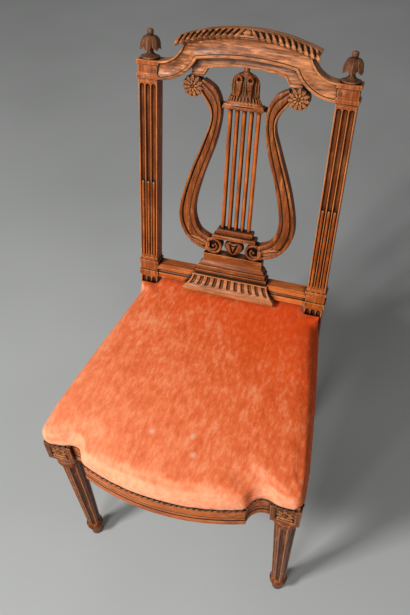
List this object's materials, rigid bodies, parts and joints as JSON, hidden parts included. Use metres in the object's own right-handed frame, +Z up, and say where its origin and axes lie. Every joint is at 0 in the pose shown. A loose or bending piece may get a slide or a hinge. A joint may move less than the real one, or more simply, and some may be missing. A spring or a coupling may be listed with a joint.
{
  "type": "dining chair",
  "caption": "Armless wooden side chair with a carved lyre back between fluted stiles, turned fluted front legs, a bowed front rail and a velvet-covered stuffed seat.",
  "frame": {"origin": "on the floor, at the middle of the chair's box in plan", "axes": "+X to the right as seen from the front, +Y from the front to the back, +Z up"},
  "size_m": [0.466, 0.5796, 0.9412],
  "materials": {
    "carved_wood": "waxed",
    "plain_wood": "bare",
    "jute_webbing": "coarse weave",
    "hessian": "coarse weave",
    "hair_stuffing": "matted",
    "orange_velvet": "cut pile"
  },
  "bodies": {
    "root": {"rear_leg_left": "carved_wood", "rear_leg_right": "carved_wood", "finial_left": "carved_wood", "finial_right": "carved_wood", "crest_rail": "carved_wood", "crest_gadroon_cap": "carved_wood", "lower_back_rail": "carved_wood", "lyre_arm_left": "carved_wood", "lyre_arm_right": "carved_wood", "rosette_left": "carved_wood", "rosette_right": "carved_wood", "lyre_capital": "carved_wood", "lyre_yoke": "carved_wood", "lyre_string_1": "carved_wood", "lyre_string_2": "carved_wood", "lyre_string_3": "carved_wood", "lyre_string_4": "carved_wood", "lyre_string_5": "carved_wood", "lyre_string_base": "carved_wood", "lyre_boss": "carved_wood", "lyre_plinth": "carved_wood", "lyre_apron": "carved_wood", "front_leg_left": "carved_wood", "front_leg_right": "carved_wood", "front_seat_rail": "carved_wood", "side_seat_rail_left": "carved_wood", "side_seat_rail_right": "carved_wood", "rear_seat_rail": "carved_wood", "joint_pegs": "carved_wood", "corner_block_front_left": "plain_wood", "corner_block_front_right": "plain_wood", "corner_block_rear_left": "plain_wood", "corner_block_rear_right": "plain_wood", "seat_webbing_lengthwise": "jute_webbing", "seat_webbing_crosswise": "jute_webbing", "seat_hessian": "hessian", "seat_pad": "hair_stuffing", "seat_cover": "orange_velvet"}
  },
  "joints": []
}
